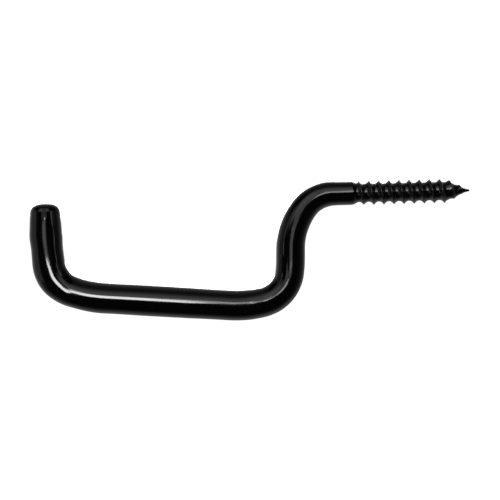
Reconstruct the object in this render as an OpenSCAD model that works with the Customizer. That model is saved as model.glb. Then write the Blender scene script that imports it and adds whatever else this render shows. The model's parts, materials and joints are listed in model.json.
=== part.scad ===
// Screw hook: a round bar, bent three times in one plane, with a wood-screw thread on its straight end.
// The screw's axis is X, with its point toward +X, and the origin is where the thread starts.
// +Z is up in use, and the bar lies in the plane Y = 0.

/* [Screw] */
// Outside diameter of the thread
thread_d = 6; // [5.4:0.1:8]
// Diameter of the core between the ridges
core_d = 4.4; // [3:0.1:5]
// Distance from one ridge to the next
pitch = 2.6; // [2:0.1:4]
// Width of a ridge where it leaves the core
ridge_w = 1.4; // [0.8:0.1:1.6]
// Width of the flat on top of a ridge
crest_w = 0.2; // [0.1:0.05:0.5]
// Length from the start of the thread to the start of the point
thread_l = 24.6; // [12:0.2:50]
// Length of the tapered point
point_l = 5.4; // [4.2:0.2:8]
// Length of the point's bare end, past the ridge
bare_l = 1.6; // [0.8:0.1:2]
// Diameter of the point's very end
point_d = 0.3; // [0.1:0.1:0.6]
// Length of the cone that leads from the shank down to the core
runout_l = 1.3; // [0.6:0.1:3]
// Distance along the screw at which the ridge starts
ridge_start = 0.75; // [0.5:0.05:2]
// Length over which the ridge rises to its full height
rise_l = 2.1; // [1:0.1:4]
// Length over which the ridge falls, first at the point and then at its end
fall_l = 1.3; // [0.6:0.1:1.6]
// Height of the ridge along the point
point_ridge_h = 0.4; // [0.2:0.05:0.6]

/* [Bar] */
// Diameter of the plain shank behind the thread
shank_d = 5.7; // [5:0.1:7]
// Diameter in the middle of the shoulder
shoulder_d = 6.6; // [5.8:0.1:8]
// Diameter of the leg and the elbow
leg_d = 7.1; // [5.8:0.1:9]
// Diameter of the arm
arm_d = 7.6; // [5.8:0.1:10]
// Diameter of the upright
upright_d = 8.1; // [5.8:0.1:10]
// Diameter of the bead that the coat forms below the tip
bead_d = 8.3; // [5.8:0.1:10]
// Diameter where the tip starts to round over
tip_d = 7.5; // [5:0.1:9]
// Height of the rounded end of the tip
dome_h = 3; // [1:0.1:4]
// Length over which one diameter blends into the next
blend_l = 2; // [0.5:0.1:3]
// Height of the coat's edge above the plain shank
coat_edge = 0.02; // [0.02:0.01:0.2]

/* [Straights] */
// Straight shank between the thread and the shoulder
shank_l = 5.3; // [3:0.1:30]
// Straight leg between the shoulder and the elbow
leg_l = 3.1; // [1:0.1:30]
// Straight arm between the elbow and the toe
arm_l = 32; // [15:0.1:80]
// Straight part of the upright above the toe
upright_l = 5.6; // [3:0.1:40]
// Straight tip above the upright, with its rounded end
tip_l = 7.3; // [6:0.1:20]

/* [Bends] */
// Radius of the shoulder's tight bend, at the bar's middle
shoulder_r = 9.4; // [7:0.1:16]
// Turn of the shoulder's tight bend, in degrees
shoulder_turn = 50; // [30:1:60]
// Radius of the shoulder's wide bend
shoulder_wide_r = 17; // [10:0.5:25]
// Turn of the shoulder's wide bend, in degrees
shoulder_wide_turn = 38; // [10:1:45]
// Radius of the elbow
elbow_r = 9.1; // [7:0.1:16]
// Turn of the elbow, in degrees
elbow_turn = 71.5; // [50:0.5:80]
// Turn with which the leg eases into the elbow, in degrees
elbow_in_turn = 5.7; // [1:0.1:12]
// Turn with which the elbow eases into the arm, in degrees
elbow_out_turn = 15.5; // [5:0.5:25]
// Radius of the toe
toe_r = 8.6; // [7:0.1:16]
// Turn of the toe, in degrees
toe_turn = 63.8; // [40:0.2:75]
// Turn with which the arm eases into the toe, in degrees
toe_in_turn = 17; // [5:0.5:25]
// Turn with which the upright straightens into the tip, in degrees
tip_turn = 4.5; // [1:0.5:10]
// Radius of the easing turns
ease_r = 31.5; // [20:0.5:50]

/* [Hidden] */

// Flat steps round the bar, and the most that its path turns between two rings
bar_sides = 32;
ring_turn = 7.5;
// Step between two rings where the path turns little, and the most such rings in one stretch
ring_step = 2;
ring_count = 5;
// Rings in the rounded end, the angle at which it turns flat, and how square its edge is: 2 is an ellipse
dome_rings = 6;
dome_turn = 75;
dome_power = 2.2;
// Flat steps in one turn of the thread, and points in its section
turn_steps = 24;
ridge_points = 4;
// Depth to which the ridge's foot and the shank's end reach into what they join
sink = 0.3;

thread_r = thread_d / 2;
core_r = core_d / 2;
shank_r = shank_d / 2;
ridge_h = thread_r - core_r;
flank = (ridge_w - crest_w) / 2 / ridge_h;
screw_l = thread_l + point_l;
ridge_end = screw_l - bare_l;

// A stretch of the bar's path: its length, its turn to the left in degrees, and the diameter at its end
function straight(length, end_d) = [length, 0, end_d];
function bend(radius, turn, end_d) = [radius * abs(turn) * PI / 180, turn, end_d];

// The path from the end of the shank to the start of the rounded end
stretches = [
    bend(shoulder_r, shoulder_turn, shoulder_d),
    bend(shoulder_wide_r, shoulder_wide_turn, leg_d),
    straight(leg_l, leg_d),
    bend(ease_r, -elbow_in_turn, leg_d),
    bend(elbow_r, -elbow_turn, leg_d),
    bend(ease_r, -elbow_out_turn, arm_d),
    straight(arm_l, arm_d),
    bend(ease_r, -toe_in_turn, arm_d),
    bend(toe_r, -toe_turn, upright_d),
    straight(upright_l, upright_d),
    bend(ease_r, -tip_turn, bead_d),
    straight(tip_l - dome_h, tip_d)
];
count = len(stretches);

// A place on the path is [x, z, heading]. This one is a share t of the way along a stretch.
function along(place, stretch, t) =
    let (turn = stretch[1] * t)
    let (chord = turn == 0 ? stretch[0] * t : 2 * stretch[0] * 180 / PI / stretch[1] * sin(turn / 2))
    let (way = place[2] + turn / 2)
    [place[0] + chord * cos(way), place[1] + chord * sin(way), place[2] + turn];

// The places between the stretches, and the length of the path up to each
function places(k) =
    k == 0
        ? [[-shank_l, 0, 180]]
        : let (p = places(k - 1)) concat(p, [along(p[k - 1], stretches[k - 1], 1)]);
function lengths(k) =
    k == 0
        ? [0]
        : let (s = lengths(k - 1)) concat(s, [s[k - 1] + stretches[k - 1][0]]);
starts = places(count);
marks = lengths(count);

// Diameters at the ends of the stretches, and the bar's radius with one diameter blended into the next
diameters = concat([[0, shank_d + 2 * coat_edge]], [for (k = [1 : count]) [marks[k], stretches[k - 1][2]]]);
function level(s) = lookup(s, diameters);
function bar_r(s) = (level(s - blend_l) + 2 * level(s) + level(s + blend_l)) / 8;

function steps(stretch) =
    max(ceil(abs(stretch[1]) / ring_turn), min(ceil(stretch[0] / ring_step), ring_count));

// Rings of the bar as [place, radius], first along the path and then over the rounded end
path_rings = [
    for (k = [0 : count - 1])
        for (i = [0 : steps(stretches[k]) - 1])
            let (t = i / steps(stretches[k]))
            [along(starts[k], stretches[k], t), bar_r(marks[k] + stretches[k][0] * t)]
];
dome = [
    for (i = [0 : dome_rings - 1])
        let (a = dome_turn * i / (dome_rings - 1))
        let (rise = pow(sin(a) / sin(dome_turn), 2 / dome_power))
        let (radius = bar_r(marks[count]) * pow(cos(a), 2 / dome_power))
        [along(starts[count], straight(dome_h, tip_d), rise), radius]
];
rings = concat(path_rings, dome);

// Radius of the turned blank under the ridge, at a distance along the screw
blank = [[0, shank_r], [runout_l, core_r], [thread_l, core_r], [screw_l, point_d / 2]];
function blank_r(x) = lookup(x, blank);

// Height of the ridge over the blank, which starts and ends below its surface
heights = [
    [ridge_start, -sink / 2],
    [ridge_start + rise_l, ridge_h],
    [thread_l - fall_l / 2, ridge_h],
    [thread_l + fall_l / 2, point_ridge_h],
    [ridge_end - fall_l, point_ridge_h],
    [ridge_end, -sink / 2]
];
function crest_r(x) = blank_r(x) + lookup(x, heights);

// One section of the ridge, turned to its place on the right-hand helix
function ridge_section(i) =
    let (x = ridge_start + pitch * i / turn_steps)
    let (a = 360 * i / turn_steps)
    let (top = crest_r(x))
    let (foot = max(blank_r(x) - sink, point_d / 4))
    let (half = crest_w / 2 + (top - foot) * flank)
    let (profile = [[-half, foot], [-crest_w / 2, top], [crest_w / 2, top], [half, foot]])
    [for (p = profile) [x + p[0], p[1] * cos(a), p[1] * sin(a)]];

// One ring of points round the bar, square to its path
function ring_points(place, radius) = [
    for (j = [0 : bar_sides - 1])
        let (a = 360 * j / bar_sides)
        let (out = radius * cos(a))
        [place[0] - out * sin(place[2]), radius * sin(a), place[1] + out * cos(place[2])]
];

// A closed skin over loops of n points each
module skin(loops, n) {
    sides = [
        for (i = [0 : len(loops) - 2])
            for (j = [0 : n - 1])
                let (a = i * n + j)
                let (b = i * n + (j + 1) % n)
                each [[a, b, b + n], [a, b + n, a + n]]
    ];
    first_cap = [for (j = [n - 1 : -1 : 0]) j];
    last_cap = [for (j = [0 : n - 1]) (len(loops) - 1) * n + j];
    polyhedron([for (loop = loops) each loop], concat([first_cap], sides, [last_cap]));
}

// The bent bar, from the end of the shank to the tip
module bar() {
    skin([for (ring = rings) ring_points(ring[0], ring[1])], bar_sides);
}

// The shank, the core and the point, turned about the screw's axis
module screw_blank() {
    shank_end = -shank_l - sink;
    outline = [for (p = blank) [p[1], p[0]]];
    rotate([0, 90, 0])
        rotate_extrude($fn = 72)
            polygon(concat([[0, shank_end], [shank_r, shank_end]], outline, [[0, screw_l]]));
}

// The helical ridge of the thread
module ridge() {
    sections = floor((ridge_end - ridge_start) / pitch * turn_steps);
    skin([for (i = [0 : sections]) ridge_section(i)], ridge_points);
}

module screw_hook() {
    color("#161616")
        union() {
            screw_blank();
            bar();
            ridge();
        }
}

screw_hook();
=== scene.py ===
"""Looks of the screw hook: coated bar and thread as one closed mesh, in a plain white studio."""
import json
import math

import bpy
import numpy as np
from mathutils import Matrix


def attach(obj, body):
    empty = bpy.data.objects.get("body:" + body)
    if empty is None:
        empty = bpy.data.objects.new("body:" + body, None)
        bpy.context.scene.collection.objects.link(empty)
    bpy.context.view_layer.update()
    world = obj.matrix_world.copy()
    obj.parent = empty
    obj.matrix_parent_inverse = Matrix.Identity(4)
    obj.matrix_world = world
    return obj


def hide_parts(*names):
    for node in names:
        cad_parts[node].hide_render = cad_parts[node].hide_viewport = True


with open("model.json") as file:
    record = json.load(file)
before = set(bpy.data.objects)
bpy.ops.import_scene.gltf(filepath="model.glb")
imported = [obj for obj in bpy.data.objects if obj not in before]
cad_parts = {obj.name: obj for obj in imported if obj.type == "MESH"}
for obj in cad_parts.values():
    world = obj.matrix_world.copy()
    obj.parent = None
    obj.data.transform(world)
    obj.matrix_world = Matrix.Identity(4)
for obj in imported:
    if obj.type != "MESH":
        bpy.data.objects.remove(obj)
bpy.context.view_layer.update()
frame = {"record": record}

# Sizes are in millimetres and angles in degrees, as in the part's source.
MM = 0.001
mounts = {mount["name"]: mount["dims"] for mount in frame["record"]["mounts"]}

# Screw: its mounts give the outside, and the core and the pitch are as in the part's source
THREAD_R = mounts["wood_thread"]["r_mm"]
SCREW_L = mounts["wood_thread"]["length_mm"]
SHANK_R = mounts["plain_shank"]["r_mm"]
SHANK_L = mounts["plain_shank"]["length_mm"]
CORE_R = 2.2
PITCH = 2.6
# Distance from the thread's start at which the crest passes +Y
CREST_START = 0.75
CREST_FLAT = 0.06
# Reach of a flank from the crest down to the root
FLANK_REACH = 1.25
# Thickness of the coat in the thread's roots and on its crests
THREAD_COAT = 0.1
ROOT_R = CORE_R + THREAD_COAT
RIDGE_H = THREAD_R + THREAD_COAT - ROOT_R
# Stretch of the screw that the thread's skin covers
SKIN_START, SKIN_END = -0.35, 28.6
# Radius under the ridge, by the distance along the screw
BLANK = [(SKIN_START, SHANK_R + 0.13), (0.05, SHANK_R + 0.09), (0.4, 2.62), (1.25, ROOT_R), (24.4, ROOT_R),
         (25.9, 1.76), (27.3, 1.14), (SKIN_END, 0.56), (SCREW_L, 0.2)]
# Height of the ridge, by the distance along the screw
RIDGE = [(0.15, 0.0), (0.9, 0.46), (1.5, 0.68), (2.8, 0.72), (4.2, RIDGE_H), (23.6, RIDGE_H), (25.0, 0.55),
         (26.2, 0.34), (27.6, 0.36), (28.5, 0.0)]

# Bar: bends and straights of its middle line, from the shank to the tip
SHOULDER_R, SHOULDER_TURN = 9.4, 50
SHOULDER_WIDE_R, SHOULDER_WIDE_TURN = 17, 38
LEG_L = 3.1
ELBOW_R, ELBOW_TURN = 9.1, 71.5
ELBOW_IN_TURN, ELBOW_OUT_TURN = 5.7, 15.5
ARM_L = mounts["hanging_arm"]["length_mm"]
TOE_R, TOE_TURN, TOE_IN_TURN = 8.6, 63.8, 17
UPRIGHT_L = 5.6
TIP_TURN, TIP_L = 4.5, 7.3
EASE_R = 31.5
# Height of the rounded end, and how square its edge is: 2 is an ellipse
DOME_H = 2.6
DOME_POWER = 2.5

# Diameter over the coat, by the distance along the bar from the thread's start
COAT = [(0, 5.78), (4, 5.8), (7, 6.12), (12, 6.5), (17, 6.98), (20, 7.12), (27, 7.26), (33, 7.18),
        (41, 7.26), (46, 7.5), (56, 7.52), (61, 7.64), (73, 7.72), (80, 7.6), (85, 7.68), (90, 7.52),
        (94, 7.8), (97, 8.3), (100, 8.34), (103, 8.18), (106, 8.02), (108.5, 8.34), (111, 8.08),
        (113, 7.9), (115, 7.5)]
# The same from front to back, because the section is not quite round
DEPTH = [(0, 5.7), (4, 5.76), (7, 6.12), (12, 6.5), (17, 6.92), (21, 7.1), (27, 7.22), (33, 7.1),
         (42, 7.16), (49, 7.54), (62, 7.6), (86, 7.64), (111, 7.7), (113, 7.6), (115, 7.3)]
# Thickness that the soft edge of the coat adds to both
COAT_SWELL = 0.22
# Length over which a diameter blends into the next, on each side
COAT_BLEND = 1.2
# Unevenness of the section: the bulge of an oval that lies at 45 degrees, by the distance along the bar
OVAL = [(30, 0.0), (36, 0.11), (38.5, 0.1), (40.5, 0.02), (43.5, 0.02), (46, 0.13), (85, 0.13),
        (88, 0.18), (92, 0.24), (94.5, 0.0), (98, -0.03), (100, -0.1), (106, 0.0)]

# Mesh density
SIDES = 96
RING_STEP = 0.4
DOME_RINGS = 22
POINT_RINGS = 6
# Spots over which a table value is averaged
BLEND_SPOTS = 9
# Rows of the helical skin across one pitch, as distances from one crest towards the next
HALF_ROWS = [0.0, CREST_FLAT, 0.17, 0.3, 0.46, 0.66, 0.92]
ROWS = HALF_ROWS + [PITCH / 2] + [PITCH - gap for gap in reversed(HALF_ROWS[1:])]

# Coat: wavelengths of its patches, its unevenness and its grain, and how fine their noise goes
PATCH_WAVE, PEEL_WAVE, GRAIN_WAVE = 9.0, 2.2, 0.35
COAT_DETAIL, GRAIN_DETAIL = 2.0, 4.0
# Depths of the unevenness and of the grain on the thread, and the share of the grain on the bar
PEEL_DEPTH, GRAIN_DEPTH = 0.002, 0.007
BAR_GRAIN = 0.1
# Stretch of the screw over which the bar's finish turns into the thread's
FINISH_CHANGE = (-0.2, 1.0)
# Radius from which the ridge looks worn, and the limits of the grain between which the wear sets in
WORN_R = 2.72
WORN_NOISE = (0.4, 0.7)
# Colours and roughness; what the thread adds to the roughness follows its grain
DARK_COAT = (0.0004, 0.0004, 0.00045, 1)
LIGHT_COAT = (0.0008, 0.0008, 0.0008, 1)
WORN_COAT = (0.01, 0.01, 0.0104, 1)
ROUGH_NOISE = (0.3, 0.7)
BAR_ROUGH = (0.08, 0.12)
THREAD_ROUGH = (0.02, 0.12)
COAT_IOR = 1.5

# Floor: half its width, its drop below the screw, and the distances over which its glow rises
FLOOR_HALF, FLOOR_DROP = 3000, 200
FLOOR_FADE, FLOOR_GLOW = (300, 900), (0.62, 1.0)
FLOOR_COLOUR = (0.8, 0.8, 0.8, 1)

# Studio: outer and inner limits of the panel, in degrees sideways from the front and above the level
PANEL_SIDE = (-62, -28, 16, 50)
PANEL_HEIGHT = (10, 26, 33, 77)
PANEL_LIGHT = 1.2
# Rest of the studio: limits along one axis of a unit vector, and the light or its share at those limits
BACK_REACH, BACK_LIGHT = (0.0, 0.85), (0.012, 0.36)
LIFT_REACH = (0.65, 0.9)
LIFT_HEIGHT, LIFT_SHARE = (-0.35, 0.45), (-0.75, 0.6)
TABLE_REACH, TABLE_LIGHT = (-0.3, 0.3), (0.0, 0.28)
TABLE_HEIGHT = (-0.3, -0.8)
SIDE_REACH, SIDE_LIGHT = (-0.7, 0.2), (0.0, 0.28)
SIDE_HEIGHT = (-0.7, -0.3, 0.3, 0.7)
SIDE_ACROSS, SIDE_SHARE = (-0.3, 0.3), (1.0, 0.3)
OVERHEAD_HEIGHT, OVERHEAD_LIGHT = (0.75, 1.0), (0.0, 0.085)
WHITE_GROUND = 1.05
WHITE = (1, 1, 1, 1)

# Outlines of the cards close to the hook, in x and z
SCREW_STRIP = [(-9.5, 3), (-4, 6.2), (1.5, 6.5), (4, 8.5), (34, 8.5), (34, 20), (4, 20), (1.5, 14.5),
               (-4, 14.5), (-9.5, 11.5)]
TOE_CARD = [(-75.5, -15.5), (-73.8, -16.5), (-74.3, -19), (-75.6, -21.5), (-77.6, -24.5), (-80, -26.5),
            (-82, -26.5), (-83, -24), (-84, -21), (-83, -18), (-87, -16.3), (-87, -15.3)]
ELBOW_CARD = [(-26.4, -20.9), (-24.4, -21), (-23.2, -21.4), (-22.2, -23.4), (-25.7, -23.4)]
ELBOW_GLINT = [(-23.2, -21.4), (-21.6, -21.9), (-19.7, -21.6), (-17.5, -21.8), (-17.5, -23.2),
               (-19.9, -23.6), (-22.2, -23.4)]
ELBOW_SPOT = [(-20, -18.4), (-9, -18.2), (-9, -20), (-20, -20.4)]
ELBOW_DIFFUSER = [(-20.3, -21.6), (-20.3, -20), (-21.5, -19.7), (-24.6, -19.3), (-25, -17.6),
                  (-27.2, -17.6), (-27.6, -19.2), (-27, -21.3), (-24.3, -21.6)]
ARM_FLAG = [(-28.2, -25.5), (-28.2, -16.5), (-34, -16.5), (-42.5, -20.8), (-42.5, -25.5)]
SHOULDER_DIFFUSER = [(-24.5, -2), (-11, -2), (-9, 4), (-9, 17), (-5, 19), (-5, 32), (-14, 32), (-14, 24),
                     (-21, 24), (-23, 18), (-33, 18), (-33, 6)]
TIP_DIFFUSER = [(-96, 1), (-70, 1), (-70, 60), (-96, 60)]

# Camera: the middle of the photograph on the hook, the photograph's width there, and its roll
AIM = (-26.96, -13.96)
PHOTO_W = 129.0
ROLL = 1.46
LENS, SENSOR = 140.0, 36.0


# A stretch of the bar is its length and its turn to the left, in degrees
def straight(length):
    return length, 0.0


def bend(radius, turn):
    return radius * math.radians(abs(turn)), turn


STRETCHES = [
    straight(SHANK_L),
    bend(SHOULDER_R, SHOULDER_TURN),
    bend(SHOULDER_WIDE_R, SHOULDER_WIDE_TURN),
    straight(LEG_L),
    bend(EASE_R, -ELBOW_IN_TURN),
    bend(ELBOW_R, -ELBOW_TURN),
    bend(EASE_R, -ELBOW_OUT_TURN),
    straight(ARM_L),
    bend(EASE_R, -TOE_IN_TURN),
    bend(TOE_R, -TOE_TURN),
    straight(UPRIGHT_L),
    bend(EASE_R, -TIP_TURN),
    straight(TIP_L),
]
BAR_L = sum(length for length, turn in STRETCHES)


def place(s):
    """Middle line at a distance s from the thread's start: x, z and heading. The screw has s < 0."""
    x, z, heading = 0.0, 0.0, 180.0
    for length, turn in STRETCHES:
        step = min(s, length)
        part = turn * step / length
        way = math.radians(heading + part / 2)
        chord = step if turn == 0 else 2 * length / math.radians(turn) * math.sin(math.radians(part / 2))
        x, z, heading = x + chord * math.cos(way), z + chord * math.sin(way), heading + part
        s -= step
        if s <= 0:
            break
    return x, z, heading


def point_at(s, side, radius):
    """Point of the skin at a distance s along the bar, a side angle round it and a radius, in metres."""
    x, z, heading = place(s)
    turn = math.radians(heading)
    out = radius * math.sin(math.radians(side))
    across = radius * math.cos(math.radians(side))
    return (x + out * math.sin(turn)) * MM, across * MM, (z - out * math.cos(turn)) * MM


def lookup(table, value):
    return float(np.interp(value, [row[0] for row in table], [row[1] for row in table]))


def blended(table, value, reach):
    """Table value, averaged over a reach on both sides so that its slope has no corners."""
    spots = np.linspace(-reach, reach, BLEND_SPOTS)
    weights = 1 + np.cos(np.pi * spots / reach)
    values = np.interp(value + spots, [row[0] for row in table], [row[1] for row in table])
    return float((values * weights).sum() / weights.sum())


def section(s):
    """Radius of the bar at a distance s, by the side angle: 0 is along its depth, 90 along its width."""
    wide = (blended(COAT, s, COAT_BLEND) + COAT_SWELL) / 2
    deep = (blended(DEPTH, s, COAT_BLEND) + COAT_SWELL) / 2
    bulge = blended(OVAL, s, COAT_BLEND)

    def radius(side):
        turn = math.radians(side)
        return deep + (wide - deep) * math.sin(turn) ** 2 + bulge * math.sin(2 * turn)

    return radius


class Skin:
    """Vertices and faces of one closed mesh."""

    def __init__(self):
        self.points = []
        self.faces = []

    def point(self, co):
        self.points.append(co)
        return len(self.points) - 1

    def ring(self, s, radius):
        """A ring round the bar; radius is a number, or a function of the side angle."""
        at = radius if callable(radius) else lambda side: radius
        sides = [360 * j / SIDES for j in range(SIDES)]
        return [self.point(point_at(s, side, at(side))) for side in sides]

    def face(self, corners):
        """A face over its corners, with doubled corners left out."""
        unique = [c for i, c in enumerate(corners) if c != corners[i - 1]]
        if len(unique) > 2:
            self.faces.append(unique)

    def join(self, first, second):
        for j in range(SIDES):
            k = (j + 1) % SIDES
            self.face([first[j], second[j], second[k], first[k]])

    def close(self, ring, pole, first):
        for j in range(SIDES):
            k = (j + 1) % SIDES
            self.face([ring[j], ring[k], pole] if first else [ring[k], ring[j], pole])


def bar_rings(skin, start):
    """Rings of the bar from a distance start to the rounded end, which closes the mesh."""
    dome_start = BAR_L - DOME_H
    count = round((dome_start - start) / RING_STEP)
    rings = []
    for i in range(count):
        s = start + (dome_start - start) * i / count
        rings.append(skin.ring(s, section(s)))
    end = section(dome_start)
    for i in range(DOME_RINGS):
        a = math.radians(90) * i / DOME_RINGS
        rise = math.sin(a) ** (2 / DOME_POWER)
        share = math.cos(a) ** (2 / DOME_POWER)
        rings.append(skin.ring(dome_start + DOME_H * rise, lambda side: end(side) * share))
    for first, second in zip(rings, rings[1:]):
        skin.join(first, second)
    skin.close(rings[-1], skin.point(point_at(BAR_L, 0, 0)), first=False)
    return rings[0]


def ridge_share(gap):
    """Share of the ridge's height at an axial gap from the crest: sharp on top, with hollow flanks."""
    return max(0.0, 1 - max(0.0, gap - CREST_FLAT) / (FLANK_REACH - CREST_FLAT)) ** 2


def thread_rings(skin, x_low, x_high):
    """Helical skin of the thread between two flat rings; its rows follow the ridge all the way."""
    low = skin.ring(-x_low, lookup(BLANK, x_low))
    high = skin.ring(-x_high, lookup(BLANK, x_high))
    least = PITCH / SIDES / 2
    first_turn = math.floor((x_low - CREST_START) / PITCH) - 1
    last_turn = math.ceil((x_high - CREST_START) / PITCH) + 1
    turns = range(first_turn, last_turn)
    rows = [(turn * PITCH + gap, min(gap, PITCH - gap)) for turn in turns for gap in ROWS]

    grid = []
    for offset, gap in rows:
        line = []
        for j in range(SIDES):
            x = CREST_START + offset + PITCH * j / SIDES
            if x < x_low + least:
                line.append(low[j])
            elif x > x_high - least:
                line.append(high[j])
            else:
                radius = lookup(BLANK, x) + lookup(RIDGE, x) * ridge_share(gap)
                line.append(skin.point(point_at(-x, 360 * j / SIDES, radius)))
        grid.append(line)

    for row in range(len(grid) - 1 - len(ROWS)):
        for j in range(SIDES):
            if j < SIDES - 1:
                right, above = grid[row][j + 1], grid[row + 1][j + 1]
            else:
                right, above = grid[row + len(ROWS)][0], grid[row + 1 + len(ROWS)][0]
            skin.face([grid[row][j], right, above, grid[row + 1][j]])
    return low, high


def point_rings(skin, first):
    """Rings of the screw's bare point, from the end of the thread's skin on, closed at the very end."""
    last = first
    for i in range(1, POINT_RINGS + 1):
        x = SKIN_END + (SCREW_L - SKIN_END) * i / POINT_RINGS
        ring = skin.ring(-x, lookup(BLANK, x))
        skin.join(ring, last)
        last = ring
    skin.close(last, skin.point((SCREW_L * MM, 0, 0)), first=True)


def make_hook():
    """The whole hook as one smooth, closed mesh."""
    skin = Skin()
    low, high = thread_rings(skin, SKIN_START, SKIN_END)
    skin.join(low, bar_rings(skin, RING_STEP - SKIN_START))
    point_rings(skin, high)

    mesh = bpy.data.meshes.new("screw_hook_skin")
    mesh.from_pydata(skin.points, [], skin.faces)
    mesh.validate()
    mesh.polygons.foreach_set("use_smooth", [True] * len(mesh.polygons))
    hook = bpy.data.objects.new("screw_hook_skin", mesh)
    bpy.context.scene.collection.objects.link(hook)
    return hook


class Nodes:
    """Short way to make and join the nodes of one tree."""

    def __init__(self, tree):
        self.tree = tree
        tree.nodes.clear()

    def add(self, kind, inputs=None, **settings):
        node = self.tree.nodes.new(kind)
        for name, value in settings.items():
            setattr(node, name, value)
        for name, value in (inputs or {}).items():
            if isinstance(value, bpy.types.NodeSocket):
                self.tree.links.new(value, node.inputs[name])
            else:
                node.inputs[name].default_value = value
        return node

    def coordinates(self, kind):
        return self.add("ShaderNodeTexCoord").outputs[kind]

    def split(self, vector):
        """The parts of a vector, by the names X, Y and Z."""
        return self.add("ShaderNodeSeparateXYZ", {0: vector}).outputs

    def math(self, operation, a, b=0.0):
        return self.add("ShaderNodeMath", {0: a, 1: b}, operation=operation).outputs[0]

    def product(self, first, *others):
        for other in others:
            first = self.math("MULTIPLY", first, other)
        return first

    def total(self, first, *others):
        for other in others:
            first = self.math("ADD", first, other)
        return first

    def ramp(self, value, low, high, to_low=0.0, to_high=1.0):
        """Value mapped from low..high to other limits, smoothly and without going past them."""
        inputs = {"Value": value, "From Min": low, "From Max": high, "To Min": to_low, "To Max": to_high}
        return self.add("ShaderNodeMapRange", inputs, interpolation_type="SMOOTHSTEP").outputs["Result"]

    def band(self, value, low_out, low_in, high_in, high_out):
        """One between the inner limits, falling smoothly to zero at the outer ones."""
        return self.product(self.ramp(value, low_out, low_in), self.ramp(value, high_in, high_out, 1.0, 0.0))

    def blend(self, share, a, b):
        """Colour a, turning into colour b by a share."""
        inputs = {"Factor": share, "A": a, "B": b}
        return self.add("ShaderNodeMix", inputs, data_type="RGBA").outputs["Result"]

    def bump(self, height, depth, **others):
        """Normal of a surface that the height raises by a depth in metres."""
        inputs = {"Height": height, "Strength": 1.0, "Distance": depth, **others}
        return self.add("ShaderNodeBump", inputs).outputs["Normal"]


def coat_material():
    """Glossy black coat, grainier on the thread and worn on its crests."""
    material = bpy.data.materials.new("black_coat")
    material.use_nodes = True
    nodes = Nodes(material.node_tree)
    place_of = nodes.coordinates("Object")
    axes = nodes.split(place_of)
    squares = [nodes.math("POWER", axes[name], 2.0) for name in ("Y", "Z")]
    from_axis = nodes.math("SQRT", nodes.total(*squares))

    def noise(wavelength, detail):
        inputs = {"Vector": place_of, "Scale": 1 / (wavelength * MM), "Detail": detail}
        return nodes.add("ShaderNodeTexNoise", inputs).outputs["Fac"]

    patches = noise(PATCH_WAVE, COAT_DETAIL)
    peel = noise(PEEL_WAVE, COAT_DETAIL)
    grain = noise(GRAIN_WAVE, GRAIN_DETAIL)
    change = [x * MM for x in FINISH_CHANGE]
    on_thread = nodes.ramp(axes["X"], *change)
    on_crest = nodes.ramp(from_axis, WORN_R * MM, THREAD_R * MM)
    worn = nodes.product(on_thread, on_crest, nodes.ramp(grain, *WORN_NOISE))
    colour = nodes.blend(worn, nodes.blend(patches, DARK_COAT, LIGHT_COAT), WORN_COAT)

    bar_rough = nodes.ramp(patches, *ROUGH_NOISE, *BAR_ROUGH)
    thread_rough = nodes.ramp(grain, *ROUGH_NOISE, *THREAD_ROUGH)
    rough = nodes.total(bar_rough, nodes.product(on_thread, thread_rough))

    peel_normal = nodes.bump(peel, PEEL_DEPTH * MM)
    grain_height = nodes.product(grain, nodes.ramp(axes["X"], *change, BAR_GRAIN, 1.0))
    normal = nodes.bump(grain_height, GRAIN_DEPTH * MM, Normal=peel_normal)
    inputs = {"Base Color": colour, "Roughness": rough, "IOR": COAT_IOR, "Normal": normal}
    shader = nodes.add("ShaderNodeBsdfPrincipled", inputs)
    nodes.add("ShaderNodeOutputMaterial", {"Surface": shader.outputs["BSDF"]})
    return material


def flat_piece(name, corners):
    """A flat piece of the studio over its corners, with the nodes of its own material."""
    mesh = bpy.data.meshes.new(name)
    mesh.from_pydata([[value * MM for value in corner] for corner in corners], [], [range(len(corners))])
    piece = bpy.data.objects.new(name, mesh)
    bpy.context.scene.collection.objects.link(piece)
    material = bpy.data.materials.new(name)
    material.use_nodes = True
    mesh.materials.append(material)
    return piece, Nodes(material.node_tree)


def make_floor():
    """Plain pale floor below the hook, which brightens into the white ground away from it."""
    signs = ((-1, -1), (1, -1), (1, 1), (-1, 1))
    corners = [(AIM[0] + x * FLOOR_HALF, y * FLOOR_HALF, -FLOOR_DROP) for x, y in signs]
    floor, nodes = flat_piece("floor", corners)
    floor.visible_glossy = False
    place_of = nodes.coordinates("Object")
    reach = nodes.add("ShaderNodeVectorMath", {0: place_of}, operation="LENGTH").outputs["Value"]
    fade = [limit * MM for limit in FLOOR_FADE]
    glow = nodes.add("ShaderNodeEmission", {"Strength": nodes.ramp(reach, *fade, *FLOOR_GLOW)})
    matte = nodes.add("ShaderNodeBsdfDiffuse", {"Color": FLOOR_COLOUR})
    both = nodes.add("ShaderNodeAddShader", {0: glow.outputs[0], 1: matte.outputs[0]})
    nodes.add("ShaderNodeOutputMaterial", {"Surface": both.outputs[0]})


def panel_light(nodes, way):
    """A soft panel in front of the hook and above it."""
    side = nodes.math("DEGREES", nodes.math("ARCTAN2", way["X"], nodes.product(way["Y"], -1.0)))
    height = nodes.math("DEGREES", nodes.math("ARCSINE", way["Z"]))
    return nodes.product(nodes.band(side, *PANEL_SIDE), nodes.band(height, *PANEL_HEIGHT), PANEL_LIGHT)


def back_light(nodes, way):
    """Grey behind the hook; straight behind it, lighter above and darker below."""
    grey = nodes.ramp(way["Y"], *BACK_REACH, *BACK_LIGHT)
    upward = nodes.ramp(way["Z"], *LIFT_HEIGHT, *LIFT_SHARE)
    lift = nodes.product(nodes.ramp(way["Y"], *LIFT_REACH), upward)
    return nodes.product(grey, nodes.total(lift, 1.0))


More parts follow.
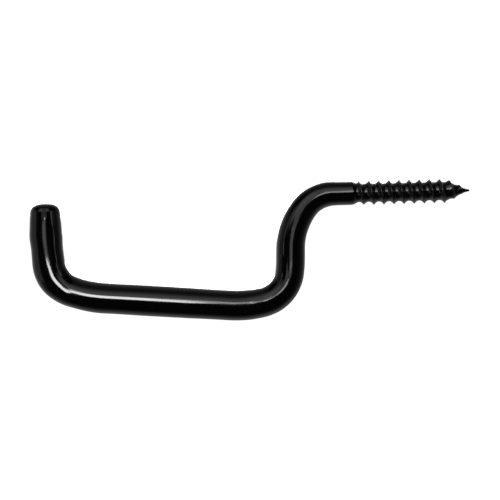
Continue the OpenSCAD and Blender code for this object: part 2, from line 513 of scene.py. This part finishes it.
def table_light(nodes, way):
    """Grey below the hook, which is dark towards the camera."""
    grey = nodes.ramp(way["Y"], *TABLE_REACH, *TABLE_LIGHT)
    return nodes.product(grey, nodes.ramp(way["Z"], *TABLE_HEIGHT))


def side_light(nodes, way):
    """Grey on both sides at the hook's level, weaker on the screw's side."""
    grey = nodes.ramp(way["Y"], *SIDE_REACH, *SIDE_LIGHT)
    across = nodes.ramp(way["X"], *SIDE_ACROSS, *SIDE_SHARE)
    return nodes.product(grey, nodes.band(way["Z"], *SIDE_HEIGHT), across)


def make_world():
    """White ground for the camera; for the hook, a studio with its own light in each direction."""
    world = bpy.data.worlds.new("studio")
    bpy.context.scene.world = world
    world.use_nodes = True
    nodes = Nodes(world.node_tree)
    way = nodes.split(nodes.coordinates("Generated"))
    zones = [zone(nodes, way) for zone in (panel_light, back_light, table_light, side_light)]
    overhead = nodes.ramp(way["Z"], *OVERHEAD_HEIGHT, *OVERHEAD_LIGHT)
    studio = nodes.add("ShaderNodeBackground", {"Color": WHITE, "Strength": nodes.total(*zones, overhead)})
    ground = nodes.add("ShaderNodeBackground", {"Color": WHITE, "Strength": WHITE_GROUND})
    seen = nodes.add("ShaderNodeLightPath").outputs["Is Camera Ray"]
    mixed = nodes.add("ShaderNodeMixShader", {0: seen, 1: studio.outputs[0], 2: ground.outputs[0]})
    nodes.add("ShaderNodeOutputWorld", {"Surface": mixed.outputs[0]})


def stage_card(name, corners):
    """Nodes of a card of the studio, which the camera does not see."""
    card, nodes = flat_piece(name, corners)
    card.visible_camera = False
    return nodes


def faded(span, soft):
    """Outer and inner limits of a span whose ends fade over a width soft."""
    low, high = span
    return low - soft / 2, low + soft / 2, high - soft / 2, high + soft / 2


def light_card(name, x, z, y, radiance, soft, lean=0.0):
    """A glowing upright card over two spans, which fades at its edges and rises by lean along x."""
    x_limits = faded(x, soft)
    z_limits = faded(z, soft)
    left, right = x_limits[0], x_limits[-1]
    bottom, top = z_limits[0], z_limits[-1]
    outline = [(left, bottom), (right, bottom), (right, top), (left, top)]
    nodes = stage_card(name, [(across, y, up + lean * across) for across, up in outline])
    axes = nodes.split(nodes.coordinates("Object"))
    level = nodes.math("SUBTRACT", axes["Z"], nodes.product(axes["X"], lean))
    across = nodes.band(axes["X"], *[limit * MM for limit in x_limits])
    upward = nodes.band(level, *[limit * MM for limit in z_limits])
    glow = nodes.add("ShaderNodeEmission", {"Strength": radiance})
    clear = nodes.add("ShaderNodeBsdfTransparent")
    share = nodes.product(across, upward)
    mixed = nodes.add("ShaderNodeMixShader", {0: share, 1: clear.outputs[0], 2: glow.outputs[0]})
    nodes.add("ShaderNodeOutputMaterial", {"Surface": mixed.outputs[0]})


def plain_card(name, corners, radiance):
    """A card of any outline that glows evenly."""
    nodes = stage_card(name, corners)
    glow = nodes.add("ShaderNodeEmission", {"Strength": radiance})
    nodes.add("ShaderNodeOutputMaterial", {"Surface": glow.outputs[0]})


def upright_card(name, outline, y, radiance):
    """A plain card across the view, with an outline in x and z."""
    plain_card(name, [(x, y, z) for x, z in outline], radiance)


def side_card(name, x, y, z, radiance):
    """A plain card along the view, over a span of y and one of z."""
    corners = [(x, y[0], z[0]), (x, y[1], z[0]), (x, y[1], z[1]), (x, y[0], z[1])]
    plain_card(name, corners, radiance)


def make_panels():
    """Soft panels well away from the hook, and two glows close to its leg and its tip."""
    light_card("key_panel", x=(-135, -34), z=(75, 272), y=-600, radiance=19.5, soft=30)
    light_card("strip", x=(-32, 25), z=(235, 342), y=-605, radiance=7.5, soft=50, lean=-0.5)
    light_card("leg_glow", x=(-21.5, -7.5), z=(-23, -4), y=-40, radiance=1.2, soft=4)
    light_card("tip_glow", x=(-91.5, -77), z=(-13.5, -2), y=-40, radiance=1.4, soft=6)
    light_card("back_panel", x=(-250, 150), z=(20, 140), y=600, radiance=8, soft=30)


def make_cards():
    """Cards close to the hook: bright ones draw its highlights, dim ones keep the panels off it."""
    upright_card("screw_strip", SCREW_STRIP, y=-39, radiance=5.2)
    upright_card("toe_card", TOE_CARD, y=-39, radiance=19)
    upright_card("elbow_card", ELBOW_CARD, y=-20, radiance=3.5)
    upright_card("elbow_glint", ELBOW_GLINT, y=-20, radiance=7.0)
    upright_card("elbow_spot", ELBOW_SPOT, y=-38.8, radiance=2.4)
    upright_card("elbow_diffuser", ELBOW_DIFFUSER, y=-20.3, radiance=0.85)
    upright_card("arm_flag", ARM_FLAG, y=-39, radiance=0.1)
    upright_card("shoulder_diffuser", SHOULDER_DIFFUSER, y=-50, radiance=1.0)
    side_card("tip_side", x=-100, y=(-12.5, -0.5), z=(-30, 4), radiance=0.38)
    upright_card("tip_diffuser", TIP_DIFFUSER, y=-41, radiance=0.5)
    # These two keep the toe's card off the leg and the screw's strip off the upright
    side_card("toe_flag", x=-72.8, y=(-39, -24), z=(-28, -13), radiance=0.0)
    side_card("screw_flag", x=-11.5, y=(-40, -24), z=(-1, 21.5), radiance=0.2)


def make_camera():
    data = bpy.data.cameras.new("camera")
    data.lens, data.sensor_width = LENS, SENSOR
    camera = bpy.data.objects.new("camera", data)
    distance = PHOTO_W * MM * LENS / SENSOR
    upright = Matrix.Rotation(math.radians(90), 4, "X")
    rolled = Matrix.Rotation(math.radians(-ROLL), 4, "Z")
    camera.matrix_world = Matrix.Translation((AIM[0] * MM, -distance, AIM[1] * MM)) @ upright @ rolled
    bpy.context.scene.collection.objects.link(camera)
    bpy.context.scene.camera = camera


hook = make_hook()
hook.data.materials.append(coat_material())
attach(hook, "root")
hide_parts("screw_hook")
make_floor()
make_world()
make_panels()
make_cards()
make_camera()
bpy.context.scene.view_settings.view_transform = "Standard"
